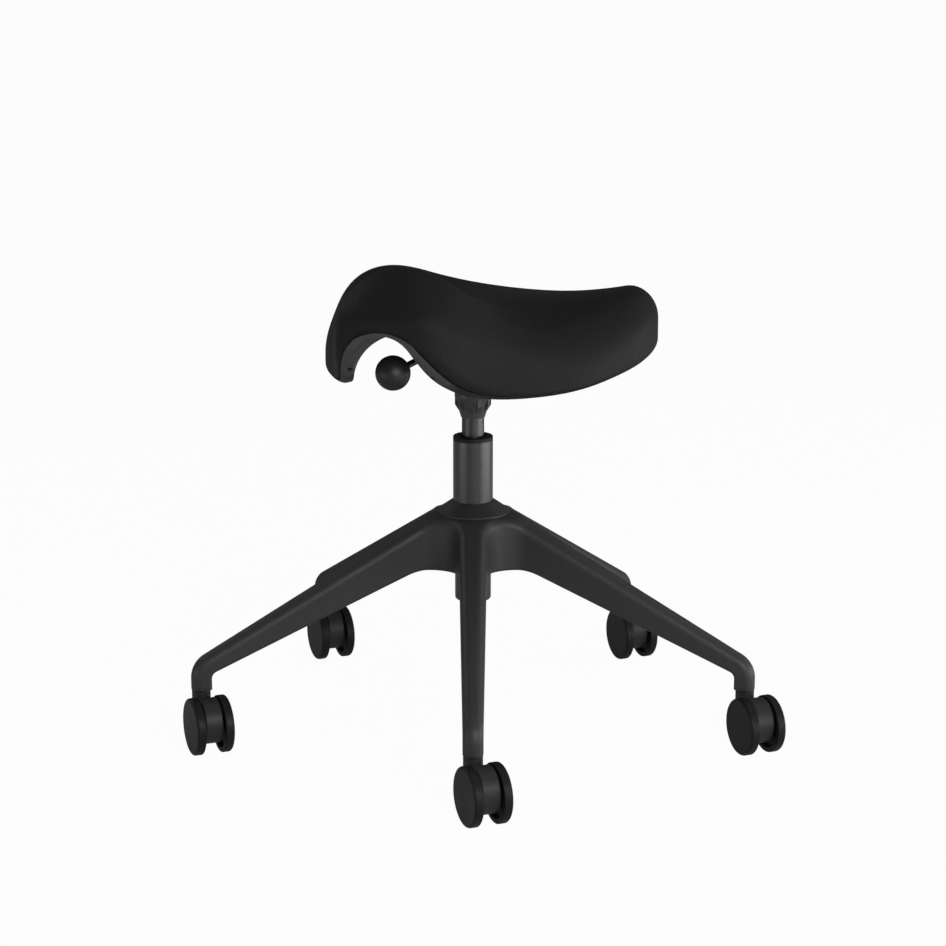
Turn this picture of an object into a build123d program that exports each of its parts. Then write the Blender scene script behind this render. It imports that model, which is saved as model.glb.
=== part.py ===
from build123d import *
from math import asin, atan2, cos, hypot, pi, radians, sin, sqrt, tan
import os

# Saddle stool on a gas lift column, a five legged cast base and twin wheel casters.
# Millimetres. The column axis is Z, the floor is Z = 0 and the saddle faces -Y.

# Fits and clearances
running_gap = 0.06
seated_gap = 0.03
face_gap = 0.3

# Base casting
leg_count = 5
rear_leg_angle = 84.0
stem_circle_radius = 353.0
leg_end_height = 73.5
leg_end_diameter = 24.0
leg_root_width = 37.0
leg_straight_end = 13.5
elbow_radius = 21.0
hub_top_height = 271.5
hub_under_height = 204.0
hub_top_reach = 56.0
hub_under_reach = 78.0
hub_top_blend = 45.0
hub_under_blend = 70.0
crotch_radius = 38.0
leg_top_round = 11.0
leg_under_round = 4.0
casting_wall = 6.0
hub_boss_wall = 11.0

# Column
tube_diameter = 50.0
tube_foot_diameter = 45.4
tube_foot_height = 157.5
tube_stand = 92.5
tube_wall = 2.0
tube_floor = 3.0
tube_foot_round = 4.0
cover_radius = 46.0
cover_height = 15.0
cover_wall = 2.0
cover_lip = 2.0
bush_flange = 5.4
bush_length = 74.0
bush_recess_width = 3.0
bush_recess_depth = 1.6

# Gas spring
cylinder_diameter = 28.0
cylinder_wall = 1.7
lowering_room = 18.2
cylinder_showing = 23.6
cylinder_taper_top_diameter = 25.8
guide_length = 15.0
valve_length = 20.0
pin_diameter = 6.0
pin_stand = 8.0
pin_hidden = 12.0
pin_travel_room = 5.0
rod_diameter = 10.0
rod_neck_diameter = 8.0
raising_room = 108.0
piston_length = 12.0
rod_end_stand = 4.0
race_thickness = 2.0
race_diameter = 27.0
ball_diameter = 4.8
ball_circle_radius = 9.6
bearing_ball_count = 8
cage_thickness = 2.0
cage_wall = 3.2
buffer_height = 7.5
buffer_diameter = 24.0
clip_thickness = 1.6
clip_diameter = 18.0
rod_tail = 3.0

# Seat bracket and release lever
socket_length = 89.0
socket_foot_radius = 15.0
socket_flare_height = 27.0
socket_flare_radius = 23.0
plate_drop = 4.0
plate_thickness = 8.0
plate_width = 124.0
plate_depth = 104.0
plate_corner = 20.0
rib_count = 5
rib_first_angle = -70.0
rib_thickness = 6.0
rib_radius = 22.5
rib_foot_rise = 8.0
rib_reach = 46.0
rib_top_drop = 36.0
ear_thickness = 5.0
ear_depth = 16.0
pivot_forward = 30.0
pivot_diameter = 6.0
tang_width = 12.0
tang_height = 12.0
tang_front = 16.0
tang_rear = 38.0
lever_rod_diameter = 8.0
lever_ball_diameter = 41.9
lever_ball_forward = 188.6
lever_ball_drop = 16.3
lever_rod_grip = 14.0

# Saddle cushion stations, front to rear: place along Y, crest, half width, fall of the top
# from crest to shoulder (negative where it is dished), rim and underside. The crest, rim and
# underside are heights above the top of the bracket's plate
saddle_stations = (
    (-221.0, 70.0, 24.0, 3.0, 53.0, 60.0),
    (-215.0, 80.0, 46.0, 6.0, 39.0, 54.5),
    (-200.0, 100.0, 72.0, 18.0, 10.0, 51.5),
    (-176.0, 121.0, 90.0, 33.0, -14.0, 49.0),
    (-144.0, 119.0, 112.0, 42.0, -27.0, 47.0),
    (-104.0, 93.0, 147.0, 38.0, -29.0, 43.0),
    (-57.0, 75.0, 181.0, 25.0, -25.0, 38.0),
    (-5.0, 69.0, 204.0, 7.0, -17.0, 35.0),
    (47.0, 66.0, 217.0, -11.0, -7.0, 34.0),
    (95.0, 62.0, 208.0, -18.0, 0.0, 30.0),
    (135.0, 58.0, 175.0, -10.0, -4.0, 22.0),
    (159.0, 50.0, 120.0, 1.0, -7.0, 12.0),
    (171.0, 37.0, 64.0, 3.0, 1.0, 11.0),
    (174.0, 29.0, 38.0, 3.0, 6.0, 12.0),
)
mid_station = saddle_stations[7]
shoulder_share = 0.78
low_round_share = 0.42
rim_round_share = 0.12
pan_thickness = 4.0
pan_gap = 0.5
pan_side_gap = 1.2
pan_front_step = 10.0
pan_rear_step = 8.0
seam_angle = 50.0
seam_gap = 1.5
boss_sink = 1.0
boss_diameter = 17.0
boss_spacing_x = 92.0
boss_spacing_y = 76.0
screw_diameter = 6.0
screw_head_diameter = 11.0
screw_head_height = 3.6
screw_length = 22.0
insert_diameter = 9.0

# Casters
caster_heading = -38.0
caster_trail = 30.5
wheel_diameter = 70.6
wheel_thickness = 11.0
wheel_track = 47.0
wheel_edge_round = 3.0
wheel_pocket_depth = 5.0
wheel_rim = 6.0
wheel_hub_radius = 8.0
wheel_bore_depth = 8.0
axle_diameter = 6.0
drum_radius = 28.0
drum_rise = 5.7
drum_gap = 1.6
drum_edge_round = 1.5
collar_diameter = 23.0
collar_gap = 0.5
collar_foot_height = 30.0
collar_groove_drop = 4.6
collar_groove_width = 0.8
collar_groove_depth = 0.6
stem_diameter = 11.0
stem_in_leg = 26.0
stem_in_body = 30.0
socket_head_room = 1.0
grip_ring_height = 4.0
grip_ring_drop = 8.0
grip_ring_depth = 0.8

# Worked out from the sizes above
leg_angles = [rear_leg_angle + 360.0 / leg_count * k for k in range(leg_count)]
leg_end_radius = leg_end_diameter / 2
elbow_centre = (stem_circle_radius - elbow_radius, leg_end_height + leg_straight_end)
elbow_outer = elbow_radius + leg_end_radius
elbow_inner = elbow_radius - leg_end_radius
tube_radius = tube_diameter / 2
tube_foot_radius = tube_foot_diameter / 2
tube_bore_radius = tube_radius - tube_wall
cylinder_radius = cylinder_diameter / 2
cylinder_bore_radius = cylinder_radius - cylinder_wall
tube_top_height = hub_top_height + tube_stand
bush_top_height = tube_top_height + bush_flange
socket_foot_height = bush_top_height + cylinder_showing
cylinder_top_height = socket_foot_height + socket_length
plate_top_height = cylinder_top_height - plate_drop
race_height = tube_foot_height + tube_floor
ball_height = race_height + race_thickness + ball_diameter / 2
upper_race_height = race_height + race_thickness + ball_diameter
buffer_foot_height = upper_race_height + race_thickness
cylinder_foot_height = buffer_foot_height + buffer_height + lowering_room
piston_height = cylinder_foot_height + guide_length + raising_room
rod_top_height = piston_height + piston_length + rod_end_stand
clip_top_height = tube_foot_height - face_gap
pin_top_height = cylinder_top_height + pin_stand
pin_foot_height = cylinder_top_height - pin_hidden
socket_flare_top = socket_foot_height + socket_flare_height
ear_inside = tang_width / 2 + face_gap
tang_under_height = pin_top_height + face_gap
pivot_height = tang_under_height + tang_height / 2
collar_top_height = leg_end_height - collar_gap
wheel_radius = wheel_diameter / 2
drum_height = wheel_radius + drum_rise
drum_length = wheel_track - 2 * wheel_thickness - 2 * drum_gap
stem_radius = stem_diameter / 2


def tangent_angle(start, centre, radius):
    """Slope of the line from a point that passes over a circle."""
    reach = hypot(centre[0] - start[0], centre[1] - start[1])
    return atan2(centre[1] - start[1], centre[0] - start[0]) + asin(radius / reach)


def circle_point(centre, radius, slope):
    """Point of a circle where its tangent has the given slope."""
    return (centre[0] - radius * sin(slope), centre[1] + radius * cos(slope))


def finish(piece, name):
    """Label a finished piece and write it."""
    piece.part.label = name
    export_step(piece.part, f"parts/{name}.step")


os.makedirs("parts", exist_ok=True)

# Base casting: the side profile turned about the column axis, cut to the five leg plan
top_slope = tangent_angle((hub_top_reach, hub_top_height), elbow_centre, elbow_outer)
under_slope = tangent_angle((hub_under_reach, hub_under_height), elbow_centre, elbow_inner)
leg_narrowing = (leg_root_width - leg_end_diameter) / 2 / stem_circle_radius


def leg_plan(inset, inner, reach):
    """Half outline corners of one tapered leg, drawn in from its side walls."""
    near = leg_root_width / 2 - leg_narrowing * inner - inset
    far = leg_root_width / 2 - leg_narrowing * reach - inset
    return [(inner, -near), (reach, -far), (reach, far), (inner, near)]


def turned_to_leg(corner, angle):
    """A plan corner turned round the column to a leg's direction."""
    turned = Vector(*corner).rotate(Axis.Z, angle)
    return (turned.X, turned.Y)


def on_outer_side(edge):
    """Whether an edge of a leg's wall is on its top and outer side."""
    point = edge.position_at(0.5)
    radius = hypot(point.X, point.Y)
    if point.Z < elbow_centre[1]:
        return radius > stem_circle_radius
    if radius > elbow_centre[0]:
        return hypot(radius - elbow_centre[0], point.Z - elbow_centre[1]) > elbow_radius
    top = min(hub_top_height, hub_top_height + (radius - hub_top_reach) * tan(top_slope))
    under = min(hub_under_height, hub_under_height + (radius - hub_under_reach) * tan(under_slope))
    return point.Z > (top + under) / 2


def leg_wall_edges(solid):
    """Edges along the side walls of the legs, without the seams between the walls."""
    walls = solid.faces().filter_by(
        lambda f: (f.geom_type == GeomType.PLANE and abs(f.normal_at().Z) < 1e-6)
        or (f.geom_type == GeomType.CYLINDER and abs(f.radius - crotch_radius) < 1e-3)
    )
    chosen = []
    for edge in walls.edges():
        point = edge.position_at(0.5)
        upright = abs(edge.tangent_at(0.5).Z) > 0.999
        seam = upright and hypot(point.X, point.Y) < elbow_centre[0]
        if not seam and abs(point.Z - leg_end_height) > 1e-3:
            chosen.append(edge)
    return chosen


def closed_profile(*corners):
    """Face bounded by straight runs through the corners, in the sketch being drawn."""
    with BuildLine() as outline:
        Polyline(*corners, close=True)
    make_face(outline.edges())


with BuildPart() as leg_pockets:
    pocket_start = tube_radius + hub_boss_wall
    pocket_end = elbow_centre[0] - leg_end_diameter
    pocket_top = hub_top_height - casting_wall
    pocket_fall = (pocket_end - hub_top_reach) * tan(top_slope)
    with BuildSketch(Plane.XZ):
        closed_profile(
            (pocket_start, leg_end_height),
            (pocket_start, pocket_top),
            (hub_top_reach, pocket_top),
            (pocket_end, pocket_top + pocket_fall),
            (pocket_end, leg_end_height),
        )
    revolve(axis=Axis.Z)
    with BuildSketch():
        for leg_angle in leg_angles:
            corners = leg_plan(casting_wall, pocket_start / 2, pocket_end)
            Polygon(*[turned_to_leg(corner, leg_angle) for corner in corners], align=None)
    extrude(amount=hub_top_height, mode=Mode.INTERSECT)

with BuildPart() as base_casting:
    with BuildSketch(Plane.XZ) as base_side:
        with BuildLine():
            outer_start = circle_point(elbow_centre, elbow_outer, top_slope)
            outer_middle = circle_point(elbow_centre, elbow_outer, (top_slope - pi / 2) / 2)
            outer_end = (elbow_centre[0] + elbow_outer, elbow_centre[1])
            inner_start = (elbow_centre[0] + elbow_inner, elbow_centre[1])
            inner_middle = circle_point(elbow_centre, elbow_inner, (under_slope - pi / 2) / 2)
            inner_end = circle_point(elbow_centre, elbow_inner, under_slope)
            Polyline((0, hub_under_height), (0, hub_top_height), (hub_top_reach, hub_top_height))
            Line((hub_top_reach, hub_top_height), outer_start)
            ThreePointArc(outer_start, outer_middle, outer_end)
            Polyline(outer_end, (outer_end[0], leg_end_height), (inner_start[0], leg_end_height))
            Line((inner_start[0], leg_end_height), inner_start)
            ThreePointArc(inner_start, inner_middle, inner_end)
            Polyline(inner_end, (hub_under_reach, hub_under_height), (0, hub_under_height))
        make_face()
        hub_shoulder = base_side.vertices().sort_by_distance((hub_top_reach, hub_top_height))[0]
        fillet(hub_shoulder, hub_top_blend)
        hub_root = base_side.vertices().sort_by_distance((hub_under_reach, hub_under_height))[0]
        fillet(hub_root, hub_under_blend)
    revolve(axis=Axis.Z)
    with BuildSketch() as base_plan:
        for leg_angle in leg_angles:
            corners = leg_plan(0, 0, stem_circle_radius + leg_end_diameter)
            Polygon(*[turned_to_leg(corner, leg_angle) for corner in corners], align=None)
        inner_corners = base_plan.vertices().filter_by(lambda v: hypot(v.X, v.Y) < hub_under_reach)
        fillet(inner_corners, crotch_radius)
    extrude(amount=hub_top_height, mode=Mode.INTERSECT)
    fillet([e for e in leg_wall_edges(base_casting) if on_outer_side(e)], leg_top_round)
    fillet([e for e in leg_wall_edges(base_casting) if not on_outer_side(e)], leg_under_round)
    add(leg_pockets.part, mode=Mode.SUBTRACT)
    with BuildSketch(Plane.XZ):
        closed_profile(
            (0, hub_under_height),
            (tube_foot_radius + seated_gap, hub_under_height),
            (tube_radius + seated_gap, hub_top_height),
            (0, hub_top_height),
        )
    revolve(axis=Axis.Z, mode=Mode.SUBTRACT)
    with BuildSketch(Plane.XY.offset(leg_end_height)):
        with PolarLocations(stem_circle_radius, leg_count, start_angle=rear_leg_angle):
            Circle(stem_radius + seated_gap)
    extrude(amount=stem_in_leg + socket_head_room, mode=Mode.SUBTRACT)
finish(base_casting, "base_casting")

# Column tube with its tapered foot, cone cover and guide bush
with BuildPart() as column_tube:
    with BuildSketch(Plane.XZ):
        closed_profile(
            (0, tube_foot_height),
            (tube_foot_radius, tube_foot_height),
            (tube_foot_radius, hub_under_height),
            (tube_radius, hub_top_height),
            (tube_radius, tube_top_height),
            (tube_bore_radius, tube_top_height),
            (tube_bore_radius, hub_top_height),
            (tube_foot_radius - tube_wall, hub_under_height),
            (tube_foot_radius - tube_wall, tube_foot_height + tube_floor),
            (0, tube_foot_height + tube_floor),
        )
    revolve(axis=Axis.Z)
    foot_edge = column_tube.edges().filter_by(GeomType.CIRCLE).group_by(Axis.Z)[0].sort_by(SortBy.RADIUS)[-1]
    fillet(foot_edge, tube_foot_round)
    with BuildSketch(Plane.XY.offset(tube_foot_height)):
        Circle(rod_neck_diameter / 2 + running_gap)
    extrude(amount=tube_floor, mode=Mode.SUBTRACT)
finish(column_tube, "column_tube")

with BuildPart() as column_cover:
    cover_bore = tube_radius + running_gap
    cover_top = hub_top_height + cover_height
    with BuildSketch(Plane.XZ):
        closed_profile(
            (cover_radius, hub_top_height),
            (cover_radius, hub_top_height + cover_lip),
            (cover_bore + cover_wall, cover_top),
            (cover_bore, cover_top),
            (cover_bore, cover_top - cover_wall),
            (cover_radius - cover_wall, hub_top_height + cover_lip / 2),
            (cover_radius - cover_wall, hub_top_height),
        )
    revolve(axis=Axis.Z)
finish(column_cover, "column_cover")

with BuildPart() as guide_bush:
    bush_bore = cylinder_radius + running_gap
    bush_radius = tube_bore_radius - seated_gap
    with BuildSketch(Plane.XZ):
        closed_profile(
            (bush_bore, tube_top_height - bush_length),
            (bush_radius, tube_top_height - bush_length),
            (bush_radius, tube_top_height),
            (tube_radius, tube_top_height),
            (tube_radius, bush_top_height),
            (bush_bore + bush_recess_width, bush_top_height),
            (bush_bore + bush_recess_width, bush_top_height - bush_recess_depth),
            (bush_bore, bush_top_height - bush_recess_depth),
        )
    revolve(axis=Axis.Z)
    bush_rim = guide_bush.edges().filter_by(GeomType.CIRCLE).group_by(Axis.Z)[-1].sort_by(SortBy.RADIUS)[-1]
    fillet(bush_rim, bush_flange / 4)
finish(guide_bush, "guide_bush")


def washer(foot, thickness, outer, bore):
    """Ring turned about the column axis, standing on the given height."""
    with BuildPart() as ring:
        with BuildSketch(Plane.XY.offset(foot)):
            Circle(outer / 2)
            Circle(bore / 2, mode=Mode.SUBTRACT)
        extrude(amount=thickness)
    return ring


# Thrust bearing in the tube's foot, rod, piston and buffer
race_bore = rod_neck_diameter + 2 * running_gap
finish(washer(race_height, race_thickness, race_diameter, race_bore), "thrust_race_lower")
finish(washer(upper_race_height, race_thickness, race_diameter, race_bore), "thrust_race_upper")
buffer_bore = rod_diameter + 2 * running_gap
finish(washer(buffer_foot_height, buffer_height, buffer_diameter, buffer_bore), "rubber_buffer")

with BuildPart() as thrust_balls:
    with Locations((0, 0, ball_height)):
        with PolarLocations(ball_circle_radius, bearing_ball_count):
            Sphere(ball_diameter / 2 - seated_gap)
finish(thrust_balls, "thrust_balls")

with BuildPart() as ball_cage:
    with BuildSketch(Plane.XY.offset(ball_height - cage_thickness / 2)):
        Circle(ball_circle_radius + cage_wall)
        Circle(ball_circle_radius - cage_wall, mode=Mode.SUBTRACT)
        with PolarLocations(ball_circle_radius, bearing_ball_count):
            Circle(ball_diameter / 2 + running_gap, mode=Mode.SUBTRACT)
    extrude(amount=cage_thickness)
finish(ball_cage, "ball_cage")

with BuildPart() as piston_rod:
    clip_groove_foot = clip_top_height - clip_thickness - seated_gap
    rod_foot_height = clip_groove_foot - rod_tail
    groove_radius = rod_neck_diameter / 2 - clip_thickness / 2
    with BuildSketch(Plane.XZ):
        closed_profile(
            (0, rod_foot_height),
            (rod_neck_diameter / 2, rod_foot_height),
            (rod_neck_diameter / 2, clip_groove_foot),
            (groove_radius, clip_groove_foot),
            (groove_radius, clip_top_height + seated_gap),
            (rod_neck_diameter / 2, clip_top_height + seated_gap),
            (rod_neck_diameter / 2, buffer_foot_height),
            (rod_diameter / 2, buffer_foot_height),
            (rod_diameter / 2, rod_top_height),
            (0, rod_top_height),
        )
    revolve(axis=Axis.Z)
finish(piston_rod, "piston_rod")
clip_bore = 2 * (groove_radius + seated_gap)
finish(washer(clip_top_height - clip_thickness, clip_thickness, clip_diameter, clip_bore), "rod_clip")
piston_bore = rod_diameter + 2 * seated_gap
piston_diameter = 2 * (cylinder_bore_radius - running_gap)
finish(washer(piston_height, piston_length, piston_diameter, piston_bore), "piston")

# Gas cylinder with its gland, valve block and release pin
taper_foot_height = socket_foot_height + face_gap
taper_run = cylinder_top_height - taper_foot_height
taper_top_radius = cylinder_taper_top_diameter / 2
with BuildPart() as gas_cylinder:
    with BuildSketch(Plane.XZ):
        closed_profile(
            (cylinder_bore_radius, cylinder_foot_height),
            (cylinder_radius, cylinder_foot_height),
            (cylinder_radius, taper_foot_height),
            (taper_top_radius, cylinder_top_height),
            (taper_top_radius - cylinder_wall, cylinder_top_height),
            (cylinder_bore_radius, taper_foot_height),
        )
    revolve(axis=Axis.Z)
finish(gas_cylinder, "gas_cylinder")
gland_diameter = 2 * (cylinder_bore_radius - seated_gap)
gland_bore = rod_diameter + 2 * running_gap
finish(washer(cylinder_foot_height, guide_length, gland_diameter, gland_bore), "rod_gland")

with BuildPart() as valve_block:
    valve_foot = cylinder_top_height - valve_length
    valve_top_radius = taper_top_radius - cylinder_wall - seated_gap
    valve_foot_radius = valve_top_radius + (cylinder_radius - taper_top_radius) * valve_length / taper_run
    pin_bore = pin_diameter / 2 + running_gap
    pin_bore_foot = pin_foot_height - pin_travel_room
    with BuildSketch(Plane.XZ):
        closed_profile(
            (0, valve_foot),
            (valve_foot_radius, valve_foot),
            (valve_top_radius, cylinder_top_height),
            (pin_bore, cylinder_top_height),
            (pin_bore, pin_bore_foot),
            (0, pin_bore_foot),
        )
    revolve(axis=Axis.Z)
finish(valve_block, "valve_block")

with BuildPart() as release_pin:
    with BuildSketch(Plane.XY.offset(pin_foot_height)):
        Circle(pin_diameter / 2)
    extrude(amount=pin_top_height - pin_foot_height)
    chamfer(release_pin.edges().group_by(Axis.Z)[-1], pin_diameter / 10)
finish(release_pin, "release_pin")

# Seat bracket: a ribbed conical socket under a plate, with two ears for the lever
with BuildPart() as seat_bracket:
    with BuildSketch(Plane.XZ):
        closed_profile(
            (0, socket_foot_height),
            (socket_foot_radius, socket_foot_height),
            (socket_flare_radius, socket_flare_top),
            (socket_flare_radius, plate_top_height),
            (0, plate_top_height),
        )
    revolve(axis=Axis.Z)
    plate_under = plate_top_height - plate_thickness
    with BuildSketch(Plane.XY.offset(plate_under)):
        RectangleRounded(plate_width, plate_depth, plate_corner)
    extrude(amount=plate_thickness)
    rib_foot = socket_foot_height + rib_foot_rise
    flare_lean = (socket_flare_radius - socket_foot_radius) / socket_flare_height
    rib_foot_radius = socket_foot_radius + rib_foot_rise * flare_lean
    for rib in range(rib_count):
        rib_plane = Plane.XZ.rotated((0, 0, rib_first_angle + 360 / rib_count * rib))
        with BuildSketch(rib_plane):
            closed_profile(
                (socket_foot_radius / 2, rib_foot),
                (rib_foot_radius, rib_foot),
                (rib_radius, rib_foot + rib_foot_rise),
                (rib_radius, plate_under - rib_top_drop),
                (rib_reach, plate_under),
                (socket_foot_radius / 2, plate_under),
            )
        extrude(amount=rib_thickness / 2, both=True)
    with BuildSketch(Plane.YZ.offset(ear_inside)):
        with Locations((-pivot_forward, pivot_height)):
            Circle(ear_depth / 2)
        with Locations((-pivot_forward, (plate_under + pivot_height) / 2)):
            Rectangle(ear_depth, pivot_height - plate_under)
    extrude(amount=ear_thickness)
    mirror(about=Plane.YZ, mode=Mode.ADD)
    with BuildSketch(Plane.YZ):
        with Locations((-pivot_forward, pivot_height)):
            Circle(pivot_diameter / 2 + seated_gap)
    extrude(amount=plate_width / 2, both=True, mode=Mode.SUBTRACT)
    with BuildSketch(Plane.XZ):
        closed_profile(
            (0, socket_foot_height),
            (cylinder_radius + seated_gap, socket_foot_height),
            (cylinder_radius + seated_gap, taper_foot_height),
            (taper_top_radius + seated_gap, cylinder_top_height),
            (0, cylinder_top_height),
        )
    revolve(axis=Axis.Z, mode=Mode.SUBTRACT)
    with BuildSketch(Plane.XY.offset(plate_under)):
        with GridLocations(boss_spacing_x, boss_spacing_y, 2, 2):
            Circle(screw_diameter / 2 + face_gap)
    extrude(amount=plate_thickness, mode=Mode.SUBTRACT)
finish(seat_bracket, "seat_bracket")

with BuildPart() as lever_pin:
    pin_half = ear_inside + ear_thickness + face_gap
    with BuildSketch(Plane.YZ.offset(-pin_half)):
        with Locations((-pivot_forward, pivot_height)):
            Circle(pivot_diameter / 2)
    extrude(amount=2 * pin_half)
finish(lever_pin, "lever_pin")

rod_root = Vector(0, -pivot_forward - tang_front / 2, pivot_height)
ball_centre = Vector(0, -lever_ball_forward, pivot_height - lever_ball_drop)
rod_run = ball_centre - rod_root
rod_direction = rod_run.normalized()
ball_radius = lever_ball_diameter / 2
with BuildPart() as lever_arm:
    with BuildSketch(Plane.YZ.offset(-tang_width / 2)):
        tang_middle_y = -pivot_forward + (tang_rear - tang_front) / 2
        with Locations((tang_middle_y, pivot_height)):
            RectangleRounded(tang_rear + tang_front, tang_height, tang_height / 4)
    extrude(amount=tang_width)
    with BuildSketch(Plane(origin=rod_root, x_dir=(1, 0, 0), z_dir=rod_direction)):
        Circle(lever_rod_diameter / 2)
    extrude(amount=rod_run.length - ball_radius + lever_rod_grip)
    with BuildSketch(Plane.YZ):
        with Locations((-pivot_forward, pivot_height)):
            Circle(pivot_diameter / 2 + running_gap)
    extrude(amount=tang_width, both=True, mode=Mode.SUBTRACT)
finish(lever_arm, "lever_arm")

with BuildPart() as lever_ball:
    with Locations(ball_centre):
        Sphere(ball_radius)
    bore_end = ball_centre - rod_direction * (ball_radius - lever_rod_grip - seated_gap)
    with BuildSketch(Plane(origin=bore_end, x_dir=(1, 0, 0), z_dir=-rod_direction)):
        Circle(lever_rod_diameter / 2 + seated_gap)
    extrude(amount=lever_ball_diameter, mode=Mode.SUBTRACT)
finish(lever_ball, "lever_ball")


# Saddle: sections of tangent arcs and short lines, lofted from the pommel to the rear edge
def saddle_corners(station):
    """Right hand corners of a saddle section, from the shoulder down and in to the underside."""
    half, fall = station[2], station[3]
    crest, rim, under = [plate_top_height + station[k] for k in (1, 4, 5)]
    shoulder = shoulder_share * half
    top_radius = (shoulder**2 + fall**2) / (2 * fall)
    tilt = asin(shoulder / top_radius)
    flank = (half - shoulder) / (1 - sin(tilt))
    shoulder_height = crest - fall
    flank_foot = shoulder_height - flank * cos(tilt)
    low = low_round_share * (flank_foot - rim)
    inner = rim_round_share * low
    half_turn = (pi / 2 - tilt) / 2 + tilt
    flank_middle = (half - flank + flank * sin(half_turn), flank_foot + flank * cos(half_turn))
    return {
        "crest": (0, crest),
        "shoulder": (shoulder, shoulder_height),
        "flank_middle": flank_middle,
        "flank_foot": (half, flank_foot),
        "low_start": (half, rim + low),
        "low_centre": (half - low, rim + low),
        "low_radius": low,
        "inner_edge": (half - low - inner, rim + low),
        "inner_foot": (half - low - inner, rim + inner),
        "under": (0, under),
    }


def low_point(at, angle):
    """Point on a section's low round, at an angle turned down from its outer side."""
    centre, radius = at["low_centre"], at["low_radius"]
    return (centre[0] + radius * cos(angle), centre[1] - radius * sin(angle))


def mirrored(point):
    """The point on the other side of the saddle's middle plane."""
    return (-point[0], point[1])


def saddle_section(station):
    """Closed outline of the cushion at one station."""
    at = saddle_corners(station)
    seam = low_point(at, radians(seam_angle))
    low_middle = low_point(at, radians(seam_angle) / 2)
    with BuildLine() as outline:
        ThreePointArc(mirrored(at["shoulder"]), at["crest"], at["shoulder"])
        ThreePointArc(at["shoulder"], at["flank_middle"], at["flank_foot"])
        Line(at["flank_foot"], at["low_start"])
        ThreePointArc(at["low_start"], low_middle, seam)
        Line(seam, at["inner_edge"])
        ThreePointArc(at["inner_edge"], at["under"], mirrored(at["inner_edge"]))
        Line(mirrored(at["inner_edge"]), mirrored(seam))
        ThreePointArc(mirrored(seam), mirrored(low_middle), mirrored(at["low_start"]))
        Line(mirrored(at["low_start"]), mirrored(at["flank_foot"]))
        ThreePointArc(mirrored(at["flank_foot"]), mirrored(at["flank_middle"]), mirrored(at["shoulder"]))
    make_face(outline.edges())


def pan_section(station):
    """Closed outline of the moulded pan under the cushion at one station."""
    at = saddle_corners(station)
    lip_angle = radians(seam_angle) + seam_gap / at["low_radius"]
    lip_start = low_point(at, lip_angle)
    lip_middle = low_point(at, (lip_angle + pi / 2) / 2)
    lip_end = low_point(at, pi / 2)
    edge = (at["inner_edge"][0] - pan_side_gap, at["inner_edge"][1] - pan_gap)
    foot = (edge[0] - pan_thickness, at["inner_foot"][1])
    top = at["under"][1] - pan_gap
    with BuildLine() as outline:
        ThreePointArc(mirrored(edge), (0, top), edge)
        Line(edge, lip_start)
        ThreePointArc(lip_start, lip_middle, lip_end)
        Line(lip_end, foot)
        ThreePointArc(foot, (0, top - pan_thickness), mirrored(foot))
        Line(mirrored(foot), mirrored(lip_end))
        ThreePointArc(mirrored(lip_end), mirrored(lip_middle), mirrored(lip_start))
        Line(mirrored(lip_start), mirrored(edge))
    make_face(outline.edges())


with BuildPart() as seat_cushion:
    for station in saddle_stations:
        with BuildSketch(Plane.XZ.offset(-station[0])):
            saddle_section(station)
    loft()
finish(seat_cushion, "seat_cushion")

mid_corners = saddle_corners(mid_station)
mid_span = mid_corners["inner_edge"][0]
mid_rise = mid_corners["under"][1] - mid_corners["inner_edge"][1]
mid_radius = (mid_span**2 + mid_rise**2) / (2 * mid_rise)
boss_reach = (boss_spacing_x + boss_diameter) / 2
ceiling_drop = mid_radius - sqrt(mid_radius**2 - boss_reach**2)
boss_top_height = mid_corners["under"][1] - ceiling_drop - pan_gap - boss_sink
with BuildPart() as seat_pan:
    for station in saddle_stations:
        with BuildSketch(Plane.XZ.offset(-station[0])):
            pan_section(station)
    loft()
    split(bisect_by=Plane.XZ.offset(-saddle_stations[0][0] - pan_front_step), keep=Keep.BOTTOM)
    split(bisect_by=Plane.XZ.offset(-saddle_stations[-1][0] + pan_rear_step), keep=Keep.TOP)
    with BuildSketch(Plane.XY.offset(plate_top_height)):
        with GridLocations(boss_spacing_x, boss_spacing_y, 2, 2):
            Circle(boss_diameter / 2)
    extrude(amount=boss_top_height - plate_top_height)
    with BuildSketch(Plane.XY.offset(plate_top_height)):
        with GridLocations(boss_spacing_x, boss_spacing_y, 2, 2):
            Circle(insert_diameter / 2 + seated_gap)
    extrude(amount=screw_length - plate_thickness + face_gap, mode=Mode.SUBTRACT)
finish(seat_pan, "seat_pan")

with BuildPart() as pan_inserts:
    with BuildSketch(Plane.XY.offset(plate_top_height)):
        with GridLocations(boss_spacing_x, boss_spacing_y, 2, 2):
            Circle(insert_diameter / 2)
            Circle(screw_diameter / 2 + seated_gap, mode=Mode.SUBTRACT)
    extrude(amount=screw_length - plate_thickness)
finish(pan_inserts, "pan_inserts")

with BuildPart() as bracket_screws:
    with BuildSketch(Plane.XY.offset(plate_under)):
        with GridLocations(boss_spacing_x, boss_spacing_y, 2, 2):
            Circle(screw_diameter / 2)
    extrude(amount=screw_length)
    with BuildSketch(Plane.XY.offset(plate_under - screw_head_height)):
        with GridLocations(boss_spacing_x, boss_spacing_y, 2, 2):
            Circle(screw_head_diameter / 2)
            RegularPolygon(screw_diameter / 3, 6, mode=Mode.SUBTRACT)
    extrude(amount=screw_head_height)
finish(bracket_screws, "bracket_screws")

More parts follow.
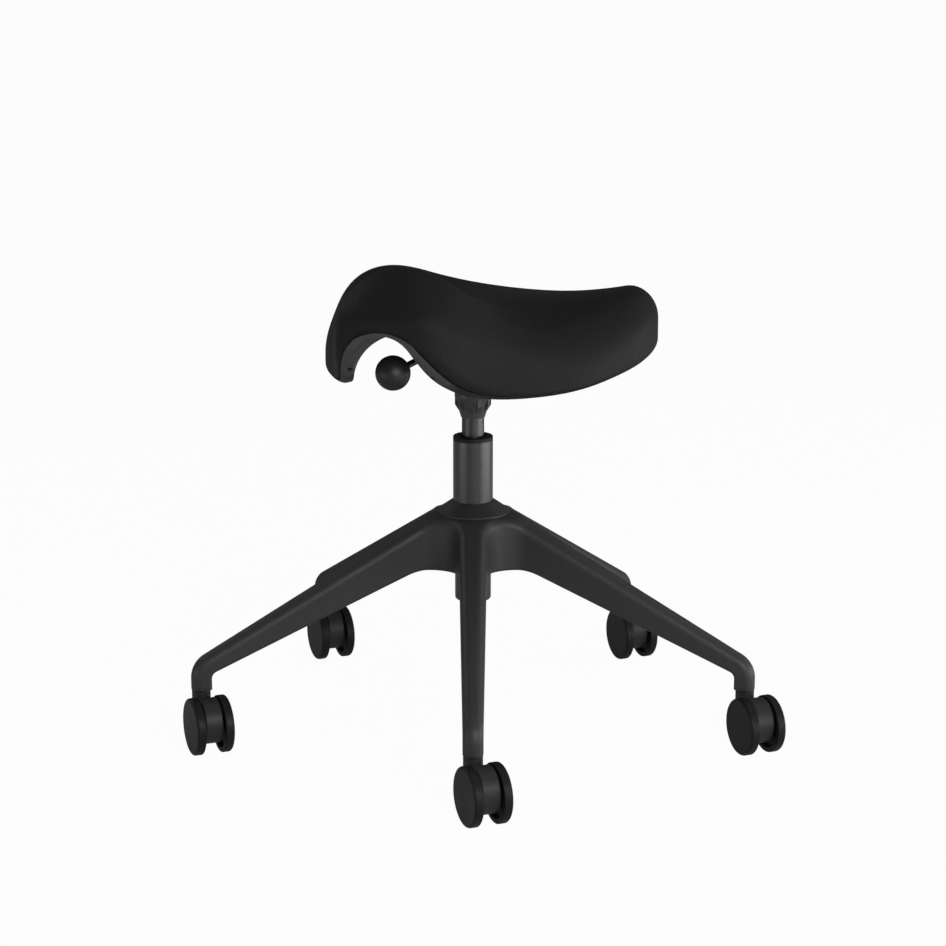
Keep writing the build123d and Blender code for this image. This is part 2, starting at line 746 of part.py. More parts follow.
# One caster, with its stem on the origin and its wheels trailing along +X
axle_radius = axle_diameter / 2
inner_face = wheel_track / 2 - wheel_thickness
stem_foot_height = leg_end_height - stem_in_body
stem_top_height = leg_end_height + stem_in_leg
ring_top_height = stem_top_height - grip_ring_drop
ring_foot_height = ring_top_height - grip_ring_height
ring_radius = stem_radius - grip_ring_depth
with BuildPart() as caster_stem:
    with BuildSketch(Plane.XZ):
        closed_profile(
            (0, stem_foot_height),
            (stem_radius, stem_foot_height),
            (stem_radius, ring_foot_height),
            (ring_radius, ring_foot_height),
            (ring_radius, ring_top_height),
            (stem_radius, ring_top_height),
            (stem_radius, stem_top_height),
            (0, stem_top_height),
        )
    revolve(axis=Axis.Z)
    chamfer(caster_stem.edges().group_by(Axis.Z)[-1], grip_ring_depth)

with BuildPart() as grip_ring:
    with BuildSketch(Plane.XY.offset(ring_foot_height + seated_gap)):
        Circle(stem_radius)
        Circle(ring_radius + seated_gap, mode=Mode.SUBTRACT)
        with Locations((stem_radius, 0)):
            Rectangle(stem_diameter, grip_ring_depth, mode=Mode.SUBTRACT)
    extrude(amount=grip_ring_height - 2 * seated_gap)

with BuildPart() as caster_body:
    with BuildSketch(Plane.XZ.offset(-drum_length / 2)):
        with Locations((caster_trail, drum_height)):
            Circle(drum_radius)
    extrude(amount=drum_length)
    fillet(caster_body.edges().filter_by(GeomType.CIRCLE), drum_edge_round)
    with BuildSketch(Plane.XY.offset(collar_foot_height)):
        Circle(collar_diameter / 2)
    extrude(amount=collar_top_height - collar_foot_height)
    fillet(caster_body.faces().sort_by(Axis.X)[0].edges().sort_by(Axis.Z)[0], collar_diameter / 4)
    with BuildSketch(Plane.XY.offset(collar_top_height - collar_groove_drop)):
        Circle(collar_diameter / 2)
        Circle(collar_diameter / 2 - collar_groove_depth, mode=Mode.SUBTRACT)
    extrude(amount=collar_groove_width, mode=Mode.SUBTRACT)
    with BuildSketch(Plane.XY.offset(stem_foot_height - face_gap)):
        Circle(stem_radius + running_gap)
    extrude(amount=stem_in_body + face_gap, mode=Mode.SUBTRACT)
    with BuildSketch(Plane.XZ.offset(-wheel_track / 2)):
        with Locations((caster_trail, wheel_radius)):
            Circle(axle_radius + seated_gap)
    extrude(amount=wheel_track, mode=Mode.SUBTRACT)

with BuildPart() as caster_axle:
    axle_half = inner_face + wheel_bore_depth - face_gap
    with BuildSketch(Plane.XZ.offset(-axle_half)):
        with Locations((caster_trail, wheel_radius)):
            Circle(axle_radius)
    extrude(amount=2 * axle_half)

with BuildPart() as wheel_form:
    with BuildSketch() as wheel_half:
        closed_profile(
            (0, wheel_track / 2),
            (wheel_radius, wheel_track / 2),
            (wheel_radius, inner_face),
            (wheel_radius - wheel_rim, inner_face),
            (wheel_radius - wheel_rim, inner_face + wheel_pocket_depth),
            (wheel_hub_radius, inner_face + wheel_pocket_depth),
            (wheel_hub_radius, inner_face),
            (axle_radius + running_gap, inner_face),
            (axle_radius + running_gap, inner_face + wheel_bore_depth),
            (0, inner_face + wheel_bore_depth),
        )
        fillet(wheel_half.vertices().sort_by_distance((wheel_radius, wheel_track / 2))[0], wheel_edge_round)
        fillet(wheel_half.vertices().sort_by_distance((wheel_radius, inner_face))[0], wheel_edge_round / 2)
    revolve(axis=Axis.Y)

wheel_place = Location((caster_trail, 0, wheel_radius))
left_wheel = wheel_form.part.moved(wheel_place)
right_wheel = mirror(wheel_form.part, about=Plane.XZ).moved(wheel_place)
caster_pieces = {
    "stem": caster_stem.part,
    "body": caster_body.part,
    "axle": caster_axle.part,
    "wheel_left": left_wheel,
    "wheel_right": right_wheel,
}
for number, leg_angle in enumerate(leg_angles, start=1):
    stem_x = stem_circle_radius * cos(radians(leg_angle))
    stem_y = stem_circle_radius * sin(radians(leg_angle))
    caster_place = Location((stem_x, stem_y, 0), (0, 0, caster_heading))
    for piece_name, form in caster_pieces.items():
        with BuildPart() as placed:
            add(form.moved(caster_place))
        finish(placed, f"caster_{number}_{piece_name}")

with BuildPart() as grip_rings:
    for leg_angle in leg_angles:
        with Locations(Location((0, 0, 0), (0, 0, leg_angle))):
            with Locations((stem_circle_radius, 0)):
                add(grip_ring.part)
finish(grip_rings, "stem_grip_rings")
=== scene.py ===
"""Looks of a saddle stool: finishes, the padded saddle, its lip screws, light and camera."""

from __future__ import annotations

import logging
import math
from dataclasses import dataclass
from enum import Enum
from typing import Any

import bmesh
import bpy
from mathutils import Matrix, Vector
from mathutils.bvhtree import BVHTree

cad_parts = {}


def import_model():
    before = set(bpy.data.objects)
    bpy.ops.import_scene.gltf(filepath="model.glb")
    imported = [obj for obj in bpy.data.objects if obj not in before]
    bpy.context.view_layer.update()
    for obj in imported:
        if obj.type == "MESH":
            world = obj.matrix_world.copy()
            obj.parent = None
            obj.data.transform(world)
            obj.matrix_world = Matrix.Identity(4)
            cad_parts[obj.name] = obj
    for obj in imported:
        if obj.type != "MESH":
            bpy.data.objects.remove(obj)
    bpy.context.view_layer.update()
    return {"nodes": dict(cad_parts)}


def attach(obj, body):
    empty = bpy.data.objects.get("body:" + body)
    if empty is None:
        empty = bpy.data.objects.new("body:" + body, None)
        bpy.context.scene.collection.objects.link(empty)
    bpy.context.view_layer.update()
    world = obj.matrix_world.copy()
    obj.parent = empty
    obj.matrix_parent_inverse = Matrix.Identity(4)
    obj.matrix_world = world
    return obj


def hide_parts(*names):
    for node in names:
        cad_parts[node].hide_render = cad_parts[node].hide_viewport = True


LOG = logging.getLogger("saddle_stool")
MM = 0.001
MERGE_MM = 0.02
WHITE = (1.0, 1.0, 1.0, 1.0)


def linear(hex_colour: str) -> tuple[float, float, float, float]:
    """Turn an sRGB hex colour into linear RGBA.

    Args:
        hex_colour: Six hex digits after a hash sign.

    Returns:
        Linear red, green and blue, with an alpha of 1.
    """
    parts = [int(hex_colour[i : i + 2], 16) / 255 for i in (1, 3, 5)]
    red, green, blue = (
        part / 12.92 if part <= 0.04045 else ((part + 0.055) / 1.055) ** 2.4 for part in parts
    )
    return (red, green, blue, 1.0)


def add_node(
    tree: bpy.types.NodeTree,
    kind: str,
    settings: dict[str, Any] | None = None,
    inputs: dict[str | int, Any] | None = None,
) -> bpy.types.Node:
    """Add one shader node with its settings, values and links.

    Args:
        tree: Node tree of the material, light or world.
        kind: Blender's name for the node type.
        settings: Properties of the node by name.
        inputs: Values, or output sockets to link, by input name or number.

    Returns:
        The new node.
    """
    node = tree.nodes.new(kind)
    for name, value in (settings or {}).items():
        setattr(node, name, value)
    for key, value in (inputs or {}).items():
        if isinstance(value, bpy.types.NodeSocket):
            tree.links.new(value, node.inputs[key])
        else:
            node.inputs[key].default_value = value
    return node


class Grain(Enum):
    """How a surface was made, which sets its fine relief."""

    SKIN = "foam skin cast against a grained mould"
    SPARKED = "plastic moulded against a spark-eroded steel face"
    POWDER = "powder coat, which flows into a soft orange peel"
    TURNED = "metal ground or turned round the column axis"
    POLISHED = "pressed or tumbled smooth"


class Axis(Enum):
    """Direction in the part's frame, as a shader node names it."""

    LENGTH = "Y"
    HEIGHT = "Z"


@dataclass(frozen=True)
class Finish:
    """One material, from its common name and the way its surface was made.

    Its tone drifts slowly between two colours, and its grain gives the fine relief.
    """

    name: str
    grain: Grain
    colour: str
    shade: str
    roughness: float
    rough_spread: float
    grain_mm: float
    relief_mm: float
    metallic: float = 0.0
    ior: float = 1.5
    drift_mm: float = 71.43
    ring_drift_mm: float = 33.33
    grain_share: float = 0.45
    relief_strength: float = 0.8

    def build(self) -> bpy.types.Material:
        """Make the node material.

        Returns:
            The material, ready to assign.
        """
        material = bpy.data.materials.new(self.name)
        material.use_nodes = True
        tree = material.node_tree
        shader = tree.nodes["Principled BSDF"]
        place = add_node(tree, "ShaderNodeTexCoord").outputs["Object"]
        relief = self._relief(tree, place)
        drift = add_node(
            tree,
            "ShaderNodeTexNoise",
            inputs={
                "Vector": place,
                "Scale": 1.0 / (self.drift_mm * MM),
                "Detail": 5.0,
                "Roughness": 0.6,
            },
        )
        speckle = add_node(
            tree,
            "ShaderNodeMix",
            {"data_type": "FLOAT"},
            {"Factor": self.grain_share, "A": drift.outputs["Fac"], "B": relief},
        )
        colour = add_node(
            tree,
            "ShaderNodeMix",
            {"data_type": "RGBA"},
            {
                "Factor": speckle.outputs["Result"],
                "A": linear(self.shade),
                "B": linear(self.colour),
            },
        )
        rough = add_node(
            tree,
            "ShaderNodeMapRange",
            inputs={
                "Value": speckle.outputs["Result"],
                "From Min": 0.3,
                "From Max": 0.7,
                "To Min": self.roughness + self.rough_spread,
                "To Max": self.roughness - self.rough_spread,
            },
        )
        bump = add_node(
            tree,
            "ShaderNodeBump",
            inputs={
                "Height": relief,
                "Distance": self.relief_mm * MM,
                "Strength": self.relief_strength,
            },
        )
        tinted = self._tint(tree, place, colour.outputs["Result"])
        tree.links.new(tinted, shader.inputs["Base Color"])
        tree.links.new(rough.outputs["Result"], shader.inputs["Roughness"])
        tree.links.new(bump.outputs["Normal"], shader.inputs["Normal"])
        shader.inputs["Metallic"].default_value = self.metallic
        shader.inputs["IOR"].default_value = self.ior
        return material

    def _tint(
        self, tree: bpy.types.NodeTree, place: bpy.types.NodeSocket, colour: bpy.types.NodeSocket
    ) -> bpy.types.NodeSocket:
        """Pass the finish's colour on as it is.

        Args:
            tree: The material's node tree.
            place: Object coordinates.
            colour: The finish's own colour.

        Returns:
            The colour that the shader takes.
        """
        return colour

    def _relief(
        self, tree: bpy.types.NodeTree, place: bpy.types.NodeSocket
    ) -> bpy.types.NodeSocket:
        """Add the fine relief for this grain.

        Args:
            tree: The material's node tree.
            place: Object coordinates.

        Returns:
            A height between 0 and 1.
        """
        scale = 1.0 / (self.grain_mm * MM)
        if self.grain is Grain.SKIN:
            cells = add_node(
                tree,
                "ShaderNodeTexVoronoi",
                {"feature": "SMOOTH_F1"},
                {"Vector": place, "Scale": scale, "Smoothness": 0.6},
            )
            return add_node(
                tree,
                "ShaderNodeMapRange",
                inputs={"Value": cells.outputs["Distance"], "From Max": 0.9},
            ).outputs["Result"]
        if self.grain is Grain.TURNED:
            across = 1.0 / (self.ring_drift_mm * MM)
            rings = add_node(
                tree,
                "ShaderNodeMapping",
                inputs={"Vector": place, "Scale": (across, across, scale)},
            )
            return add_node(
                tree,
                "ShaderNodeTexNoise",
                inputs={"Vector": rings.outputs["Vector"], "Scale": 1.0, "Detail": 3.0},
            ).outputs["Fac"]
        return add_node(
            tree,
            "ShaderNodeTexNoise",
            inputs={"Vector": place, "Scale": scale, "Detail": 2.0, "Roughness": 0.5},
        ).outputs["Fac"]


@dataclass(frozen=True)
class PaintedShadingFinish(Finish):
    """A finish that turns to another tone towards one end of its piece: painted light on the pan's
    lip, painted shade on the caster's collar.
    """

    painted_shading_colour: str = "#ffffff"
    painted_shading_axis: Axis = Axis.LENGTH
    painted_shading_from_mm: float = 0.0
    painted_shading_to_mm: float = 0.0

    def _tint(
        self, tree: bpy.types.NodeTree, place: bpy.types.NodeSocket, colour: bpy.types.NodeSocket
    ) -> bpy.types.NodeSocket:
        """Mix the painted light or painted shade colour in towards its end of the piece.

        Args:
            tree: The material's node tree.
            place: Object coordinates.
            colour: The colour away from the painted end.

        Returns:
            The colour that the shader takes.
        """
        parts = add_node(tree, "ShaderNodeSeparateXYZ", inputs={"Vector": place})
        share = add_node(
            tree,
            "ShaderNodeMapRange",
            {"interpolation_type": "SMOOTHSTEP"},
            {
                "Value": parts.outputs[self.painted_shading_axis.value],
                "From Min": self.painted_shading_from_mm * MM,
                "From Max": self.painted_shading_to_mm * MM,
                "To Min": 1.0,
                "To Max": 0.0,
            },
        )
        # Painted shading: the end's colour stands in for the light or shade that falls there.
        return add_node(
            tree,
            "ShaderNodeMix",
            {"data_type": "RGBA"},
            {"Factor": share.outputs["Result"], "A": colour, "B": linear(self.painted_shading_colour)},
        ).outputs["Result"]


# Integral skin polyurethane: a dull black hide, cast with a shallow pebble, that lifts a soft
# broad light. The real pebble is about 1 mm, and 2.6 mm is as fine as it can be and still show.
FOAM_SKIN = Finish(
    "polyurethane_foam_skin", Grain.SKIN, "#1f1f1f", "#181818", 0.6, 0.05, 2.6, 0.14, ior=1.22
)
# Polypropylene, moulded: black and dull, with painted light turning it grey towards the front
# arch, where the floor's light falls on the lip.
PAN_PLASTIC = PaintedShadingFinish(
    "polypropylene_pan_painted_lit_lip",
    Grain.SPARKED,
    "#222222",
    "#1a1a1a",
    0.6,
    0.05,
    1.6,
    0.12,
    ior=1.4,
    # Painted light: the lip turns grey towards the front arch.
    painted_shading_colour="#3f3f3f",
    painted_shading_from_mm=-189.0,
    painted_shading_to_mm=-172.0,
)
# Graphite powder coat over cast aluminium: satin, with a faint orange peel.
# The real peel is about 1 mm, and is drawn at 3 mm so that it shows.
BASE_COAT = Finish(
    "graphite_powder_coat", Grain.POWDER, "#353535", "#2c2c2c", 0.5, 0.04, 3.0, 0.10, ior=1.36
)
# Powder coat on the drawn steel tube: smoother, so the lamps stand on it as upright bands.
COLUMN_COAT = Finish(
    "column_powder_coat", Grain.POWDER, "#2a2a2a", "#222222", 0.31, 0.04, 2.4, 0.08, ior=1.6
)
# Gas cylinder tube: ground steel under a thin grey lacquer, whose light is stretched round it.
CYLINDER_STEEL = Finish(
    "ground_steel_tube", Grain.TURNED, "#515151", "#434343", 0.4, 0.05, 0.7, 0.02, metallic=1.0
)
# Powder coat on the cast bracket: a little greyer than the column, so that its ribs show.
BRACKET_COAT = Finish(
    "bracket_powder_coat", Grain.POWDER, "#3a3a3a", "#303030", 0.45, 0.04, 2.2, 0.12
)
# Glass-filled nylon of the cover and the piston: black, with a fine dull texture.
BLACK_NYLON = Finish(
    "black_nylon", Grain.SPARKED, "#313131", "#282828", 0.48, 0.05, 1.5, 0.10, ior=1.36
)
# The caster's body is the same nylon, with painted shade darkening the top of its collar round the
# stem, under the leg's foot.
CASTER_NYLON = PaintedShadingFinish(
    "caster_nylon_painted_shade_collar",
    Grain.SPARKED,
    "#2b2b2b",
    "#232323",
    0.48,
    0.05,
    1.5,
    0.10,
    ior=1.36,
    # Painted shade: the collar's top is darker under the leg's foot.
    painted_shading_colour="#161616",
    painted_shading_axis=Axis.HEIGHT,
    painted_shading_from_mm=71.5,
    painted_shading_to_mm=70.5,
)
# Acetal of the guide bush: black, and smoother than the nylon.
BUSH_ACETAL = Finish(
    "acetal_bush", Grain.SPARKED, "#101010", "#0b0b0b", 0.55, 0.05, 1.5, 0.06, ior=1.3
)
# Wheel face and tread: a smoother black nylon that takes little light.
WHEEL_NYLON = Finish(
    "wheel_nylon", Grain.SPARKED, "#1e1e1e", "#171717", 0.45, 0.05, 1.8, 0.08, ior=1.24
)
# Phenolic ball, pressed and tumbled: deep black with a soft satin light.
BALL_PHENOLIC = Finish(
    "phenolic_ball", Grain.POLISHED, "#181818", "#111111", 0.5, 0.04, 6.0, 0.02, ior=1.42
)
# Black oxide on the lever's drawn rod: dark, with a thin metal light along it.
LEVER_COAT = Finish(
    "lever_black_oxide", Grain.TURNED, "#242424", "#1a1a1a", 0.4, 0.05, 1.2, 0.04, metallic=0.6
)
# Black oxide on a steel screw, made near black so that the head is a dark dot: partly the oxide's
# own black, partly painted shade for the dark spot at the lip's edge.
SCREW_OXIDE_SHADE = Finish(
    "screw_oxide_painted_shade", Grain.POLISHED, "#070707", "#040404", 0.6, 0.04, 6.0, 0.02, ior=1.3
)
# Zinc plated steel of the hidden works: bright grey with a slight drift of tone.
ZINC_STEEL = Finish(
    "zinc_plated_steel", Grain.TURNED, "#a9adb1", "#8f9397", 0.34, 0.06, 0.9, 0.03, metallic=1.0
)
# Turned brass of the cage, gland, valve and inserts: warm yellow with fine tool rings.
BRASS = Finish(
    "turned_brass", Grain.TURNED, "#b3924f", "#97783c", 0.33, 0.05, 0.8, 0.03, metallic=1.0
)
# Moulded rubber of the buffer: flat black.
BUFFER_RUBBER = Finish("buffer_rubber", Grain.SPARKED, "#151515", "#0e0e0e", 0.7, 0.05, 1.5, 0.10)


class Wardrobe:
    """Builds each finish once and puts it on pieces."""

    def __init__(self) -> None:
        """Start with no material made."""
        self._made: dict[str, bpy.types.Material] = {}

    def put(self, piece: bpy.types.Object, finish: Finish) -> None:
        """Give a piece one finish all over.

        Args:
            piece: Mesh object to dress.
            finish: The finish it takes.
        """
        if finish.name not in self._made:
            self._made[finish.name] = finish.build()
        piece.data.materials.clear()
        piece.data.materials.append(self._made[finish.name])


def new_piece(name: str, mesh: bmesh.types.BMesh) -> bpy.types.Object:
    """Turn a finished bmesh into a smooth shaded object at the origin.

    Args:
        name: Name of the piece.
        mesh: The shape, in metres, in the part's frame. It is freed here.

    Returns:
        The linked object.
    """
    data = bpy.data.meshes.new(name)
    mesh.to_mesh(data)
    mesh.free()
    data.shade_smooth()
    piece = bpy.data.objects.new(name, data)
    bpy.context.scene.collection.objects.link(piece)
    return piece


def merged_copy(node: bpy.types.Object) -> bmesh.types.BMesh:
    """Copy a node's mesh with its loose triangles merged.

    Args:
        node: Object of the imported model.

    Returns:
        A new bmesh that the caller frees.
    """
    mesh = bmesh.new()
    mesh.from_mesh(node.data)
    bmesh.ops.remove_doubles(mesh, verts=mesh.verts, dist=MERGE_MM * MM)
    return mesh


@dataclass
class Saddle:
    """The padded saddle on its moulded pan, with a small screw in each flap's lip.

    The skin is smoothed by moves in and out again, which keep its volume. The screws sit on the
    lip's face, which is looked up from ahead_mm. The rim's round and the socket's depth are shares
    of the head's height, and the socket's wall is a share of its radius.
    """

    voxel_mm: float = 2.5
    smooth_rounds: int = 8
    settle_rounds: int = 4
    crown_rounds: int = 50
    crown_slope: float = 0.1
    draw_in: float = 0.5
    let_out: float = -0.51
    fill: float = 0.95
    screw_across_mm: float = 57.0
    screw_height_mm: float = 480.0
    screw_head_mm: float = 6.0
    screw_tall_mm: float = 0.6
    screw_sides: int = 24
    rim_round: float = 0.5
    socket_wall: float = 0.35
    socket_deep: float = 0.6
    ahead_mm: float = -260.0

    def build(self, nodes: dict[str, bpy.types.Object], wardrobe: Wardrobe) -> None:
        """Make the cushion and the lip screws, and dress the pan.

        Args:
            nodes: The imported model's objects by node name.
            wardrobe: Source of finishes.
        """
        self._cushion(nodes["seat_cushion"], wardrobe)
        wardrobe.put(nodes["seat_pan"], PAN_PLASTIC)
        wardrobe.put(nodes["pan_inserts"], BRASS)
        wardrobe.put(nodes["bracket_screws"], ZINC_STEEL)
        self._lip_screws(nodes["seat_pan"], wardrobe)

    def _cushion(self, solid: bpy.types.Object, wardrobe: Wardrobe) -> None:
        """Cast the foam's skin over the solid, and smooth its crown.

        Args:
            solid: The plain cushion's object.
            wardrobe: Source of finishes.
        """
        cushion = new_piece("saddle_cushion", merged_copy(solid))
        bpy.context.view_layer.objects.active = cushion
        cushion.select_set(True)
        remesh = cushion.modifiers.new("skin", "REMESH")
        remesh.mode = "VOXEL"
        remesh.voxel_size = self.voxel_mm * MM
        remesh.use_smooth_shade = True
        bpy.ops.object.modifier_apply(modifier=remesh.name)
        self._relax(cushion, self.smooth_rounds)
        mould = cushion.modifiers.new("mould", "SHRINKWRAP")
        mould.wrap_method = "NEAREST_SURFACEPOINT"
        mould.target = solid
        bpy.ops.object.modifier_apply(modifier=mould.name)
        self._relax(cushion, self.settle_rounds)
        self._relax(cushion, self.crown_rounds, self.crown_slope)
        cushion.data.shade_smooth()
        cushion.select_set(False)
        wardrobe.put(cushion, FOAM_SKIN)
        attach(cushion, "seat")
        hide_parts("seat_cushion")
        LOG.info("saddle cushion: %d faces", len(cushion.data.polygons))

    def _relax(self, cushion: bpy.types.Object, rounds: int, slope: float = -1.0) -> None:
        """Smooth the skin where it faces up enough, and keep its volume.

        Args:
            cushion: The cushion's object.
            rounds: How many times the points move towards their neighbours and back out.
            slope: Least upward part of the normal at the points that move.
        """
        mesh = bmesh.new()
        mesh.from_mesh(cushion.data)
        mesh.normal_update()
        free = [vert for vert in mesh.verts if vert.normal.z >= slope]
        for _ in range(rounds):
            for factor in (self.draw_in, self.let_out):
                bmesh.ops.smooth_vert(
                    mesh,
                    verts=free,
                    factor=factor,
                    use_axis_x=True,
                    use_axis_y=True,
                    use_axis_z=True,
                )
        mesh.to_mesh(cushion.data)
        mesh.free()

    def _lip_screws(self, pan: bpy.types.Object, wardrobe: Wardrobe) -> None:
        """Set one small screw in the front of each flap's lip, near the arch.

        Args:
            pan: The pan's object.
            wardrobe: Source of finishes.
        """
        solid = merged_copy(pan)
        tree = BVHTree.FromBMesh(solid)
        solid.free()
        screws = bmesh.new()
        for side in (-1.0, 1.0):
            start = Vector((side * self.screw_across_mm, self.ahead_mm, self.screw_height_mm)) * MM
            place, facing, _, _ = tree.ray_cast(start, Vector((0.0, 1.0, 0.0)))
            if place is None:
                LOG.warning("no lip for the screw on side %+.0f", side)
                continue
            self._screw_head(screws, place, facing)
        piece = new_piece("lip_screws", screws)
        wardrobe.put(piece, SCREW_OXIDE_SHADE)
        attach(piece, "seat")
        LOG.info("lip screws set")

    def _screw_head(self, screws: bmesh.types.BMesh, place: Vector, facing: Vector) -> None:
        """Add a low round head with a shallow socket.

        Args:
            screws: Mesh that takes the head.
            place: Middle of the seat under the head.
            facing: Direction that the head looks.
        """
        radius, tall = self.screw_head_mm / 2 * MM, self.screw_tall_mm * MM
        turn = facing.to_track_quat("Z", "Y").to_matrix().to_4x4()
        made = bmesh.ops.create_cone(
            screws,
            cap_ends=True,
            segments=self.screw_sides,
            radius1=radius,
            radius2=radius,
            depth=2 * tall,
            matrix=Matrix.Translation(place) @ turn,
        )
        faces = {face for vert in made["verts"] for face in vert.link_faces}
        crown = max(faces, key=lambda face: (face.calc_center_median() - place).dot(facing))
        rounded = bmesh.ops.bevel(
            screws,
            geom=list(crown.edges),
            offset=self.rim_round * tall,
            segments=3,
            profile=0.5,
            affect="EDGES",
            material=-1,
        )
        ring = {face for vert in rounded["verts"] for face in vert.link_faces}
        crown = max(ring, key=lambda face: (face.calc_center_median() - place).dot(facing))
        bmesh.ops.inset_region(screws, faces=[crown], thickness=self.socket_wall * radius)
        sunk = -self.socket_deep * tall * facing
        bmesh.ops.translate(screws, verts=list(crown.verts), vec=sunk)


@dataclass
class Column:
    """Tube, cover, bush and gas spring between the base and the saddle."""

    def build(self, nodes: dict[str, bpy.types.Object], wardrobe: Wardrobe) -> None:
        """Dress the column's pieces.

        Args:
            nodes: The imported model's objects by node name.
            wardrobe: Source of finishes.
        """
        for name, finish in (
            ("column_tube", COLUMN_COAT),
            ("column_cover", BLACK_NYLON),
            ("guide_bush", BUSH_ACETAL),
            ("gas_cylinder", CYLINDER_STEEL),
            ("seat_bracket", BRACKET_COAT),
            ("thrust_race_lower", ZINC_STEEL),
            ("thrust_race_upper", ZINC_STEEL),
            ("thrust_balls", ZINC_STEEL),
            ("ball_cage", BRASS),
            ("piston_rod", ZINC_STEEL),
            ("piston", BLACK_NYLON),
            ("rod_clip", ZINC_STEEL),
            ("rod_gland", BRASS),
            ("valve_block", BRASS),
            ("release_pin", ZINC_STEEL),
            ("rubber_buffer", BUFFER_RUBBER),
        ):
            wardrobe.put(nodes[name], finish)
        LOG.info("column dressed")


@dataclass
class ReleaseLever:
    """The ball-ended lever that frees the gas spring."""

    def build(self, nodes: dict[str, bpy.types.Object], wardrobe: Wardrobe) -> None:
        """Dress the lever.

        Args:
            nodes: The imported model's objects by node name.
            wardrobe: Source of finishes.
        """
        wardrobe.put(nodes["lever_arm"], LEVER_COAT)
        wardrobe.put(nodes["lever_ball"], BALL_PHENOLIC)
        wardrobe.put(nodes["lever_pin"], ZINC_STEEL)
        LOG.info("release lever dressed")


@dataclass
class StarBase:
    """The cast star base."""

    def build(self, nodes: dict[str, bpy.types.Object], wardrobe: Wardrobe) -> None:
        """Dress the casting.

        Args:
            nodes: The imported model's objects by node name.
            wardrobe: Source of finishes.
        """
        wardrobe.put(nodes["base_casting"], BASE_COAT)
        wardrobe.put(nodes["stem_grip_rings"], ZINC_STEEL)
        LOG.info("base dressed")


@dataclass
class Casters:
    """Five twin-wheel casters."""

    count: int = 5

    def build(self, nodes: dict[str, bpy.types.Object], wardrobe: Wardrobe) -> None:
        """Dress every caster.

        Args:
            nodes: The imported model's objects by node name.
            wardrobe: Source of finishes.
        """
        for number in range(1, self.count + 1):
            wardrobe.put(nodes[f"caster_{number}_body"], CASTER_NYLON)
            wardrobe.put(nodes[f"caster_{number}_stem"], ZINC_STEEL)
            wardrobe.put(nodes[f"caster_{number}_axle"], ZINC_STEEL)
            for side in ("left", "right"):
                wardrobe.put(nodes[f"caster_{number}_wheel_{side}"], WHEEL_NYLON)
        LOG.info("casters dressed")


@dataclass(frozen=True)
class Softbox:
    """One soft lamp that faces the stool."""

    name: str
    place: tuple[float, float, float]
    width_m: float
    tall_m: float
    watts: float
    aim_height_m: float = 0.35

    def hang(self) -> None:
        """Add the lamp to the scene, turned to the middle of the stool."""
        lamp = bpy.data.lights.new(self.name, "AREA")
        lamp.shape = "RECTANGLE"
        lamp.size = self.width_m
        lamp.size_y = self.tall_m
        lamp.energy = self.watts
        holder = bpy.data.objects.new(self.name, lamp)
        holder.location = self.place
        aim = Vector((0.0, 0.0, self.aim_height_m)) - Vector(self.place)
        holder.rotation_euler = aim.to_track_quat("-Z", "Y").to_euler()
        holder.visible_camera = False
        bpy.context.scene.collection.objects.link(holder)


# A low wide box on the right draws the bright edge of the column, a weaker one on the left its
# soft second band, and the high ones light the tops.
SOFTBOXES = (
    Softbox("right_strip", (1.75, 0.64, 0.22), 2.2, 0.36, 19.0),
    Softbox("left_strip", (-0.95, -1.6, 0.22), 1.4, 0.36, 4.6),
    Softbox("front_box", (2.1, -1.7, 1.15), 1.2, 0.7, 42.0),
    Softbox("left_box", (-2.4, 0.2, 1.7), 1.2, 1.0, 5.0),
    Softbox("back_box", (1.4, 2.2, 2.0), 1.2, 1.0, 7.0),
    Softbox("top_box", (0.2, 0.0, 3.0), 2.2, 2.2, 9.0),
)


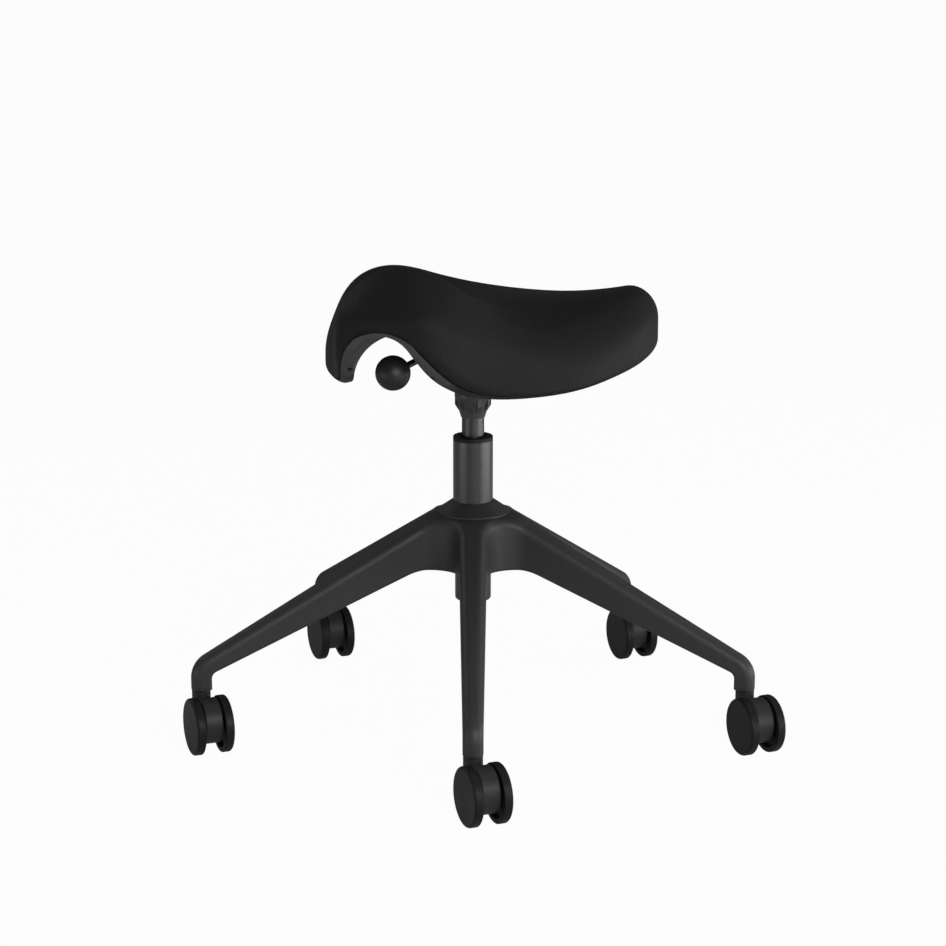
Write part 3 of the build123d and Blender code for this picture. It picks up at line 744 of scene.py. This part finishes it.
@dataclass
class Studio:
    """White floor, soft lamps and the photograph's camera."""

    azimuth_deg: float = 30.0
    pitch_deg: float = 13.19
    distance_m: float = 3.103
    height_m: float = 1.048
    focal_px: float = 2540.0
    frame_px: float = 946.0
    sensor_mm: float = 36.0
    floor_half_m: float = 45.0
    floor_white: float = 0.97
    floor_mirrored: float = 0.15
    floor_grey: float = 0.6
    horizon: float = 0.14
    zenith: float = 0.1
    zenith_from: float = 0.55

    def build(self) -> None:
        """Make the floor, the world, the lamps and the camera."""
        self._floor()
        self._world()
        for softbox in SOFTBOXES:
            softbox.hang()
        self._camera()
        bpy.context.scene.view_settings.view_transform = "Standard"
        LOG.info("studio set with %d lamps", len(SOFTBOXES))

    def _floor(self) -> None:
        """Make a white floor that keeps a faint shadow."""
        mesh = bmesh.new()
        bmesh.ops.create_grid(mesh, x_segments=1, y_segments=1, size=self.floor_half_m)
        floor = new_piece("studio_floor", mesh)
        material = bpy.data.materials.new("studio_paper")
        material.use_nodes = True
        tree = material.node_tree
        tree.nodes.clear()
        path = add_node(tree, "ShaderNodeLightPath")
        direct = add_node(
            tree,
            "ShaderNodeMath",
            {"operation": "MAXIMUM"},
            {0: path.outputs["Is Camera Ray"], 1: path.outputs["Is Transmission Ray"]},
        )
        white_direct = add_node(
            tree,
            "ShaderNodeMath",
            {"operation": "MULTIPLY"},
            {0: direct.outputs[0], 1: self.floor_white},
        )
        white_mirrored = add_node(
            tree,
            "ShaderNodeMath",
            {"operation": "MULTIPLY"},
            {0: path.outputs["Is Glossy Ray"], 1: self.floor_mirrored},
        )
        share = add_node(
            tree,
            "ShaderNodeMath",
            {"operation": "MAXIMUM"},
            {0: white_direct.outputs[0], 1: white_mirrored.outputs[0]},
        )
        grey = (self.floor_grey, self.floor_grey, self.floor_grey, 1.0)
        matt = add_node(tree, "ShaderNodeBsdfDiffuse", inputs={"Color": grey})
        white = add_node(tree, "ShaderNodeEmission", inputs={"Color": WHITE, "Strength": 1.0})
        mixed = add_node(
            tree,
            "ShaderNodeMixShader",
            inputs={0: share.outputs[0], 1: matt.outputs[0], 2: white.outputs[0]},
        )
        add_node(tree, "ShaderNodeOutputMaterial", inputs={"Surface": mixed.outputs[0]})
        floor.data.materials.append(material)

    def _world(self) -> None:
        """Make a surround that is white to the camera and dims overhead for the object."""
        world = bpy.data.worlds.new("studio_surround")
        bpy.context.scene.world = world
        world.use_nodes = True
        tree = world.node_tree
        tree.nodes.clear()
        place = add_node(tree, "ShaderNodeTexCoord").outputs["Generated"]
        height = add_node(tree, "ShaderNodeSeparateXYZ", inputs={"Vector": place}).outputs["Z"]
        glow = add_node(
            tree,
            "ShaderNodeMapRange",
            inputs={
                "Value": height,
                "From Max": self.zenith_from,
                "To Min": self.horizon,
                "To Max": self.zenith,
            },
        )
        path = add_node(tree, "ShaderNodeLightPath")
        strength = add_node(
            tree,
            "ShaderNodeMath",
            {"operation": "MAXIMUM"},
            {0: glow.outputs["Result"], 1: path.outputs["Is Camera Ray"]},
        )
        sky = add_node(
            tree,
            "ShaderNodeBackground",
            inputs={"Color": WHITE, "Strength": strength.outputs[0]},
        )
        add_node(tree, "ShaderNodeOutputWorld", inputs={"Surface": sky.outputs[0]})

    def _camera(self) -> None:
        """Set the camera to the photograph's view."""
        data = bpy.data.cameras.new("photograph_view")
        data.sensor_width = self.sensor_mm
        data.lens = self.focal_px / self.frame_px * self.sensor_mm
        camera = bpy.data.objects.new("photograph_view", data)
        turn = math.radians(self.azimuth_deg)
        camera.location = (
            self.distance_m * math.sin(turn),
            -self.distance_m * math.cos(turn),
            self.height_m,
        )
        camera.rotation_euler = (math.pi / 2 - math.radians(self.pitch_deg), 0.0, turn)
        bpy.context.scene.collection.objects.link(camera)
        bpy.context.scene.camera = camera


def main() -> None:
    """Build and dress the stool, then set up the studio."""
    logging.basicConfig(level=logging.INFO, format="%(message)s")
    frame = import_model()
    nodes = frame["nodes"]
    wardrobe = Wardrobe()
    for assembly in (Saddle(), Column(), ReleaseLever(), StarBase(), Casters()):
        assembly.build(nodes, wardrobe)
    Studio().build()


if __name__ == "__main__":
    main()
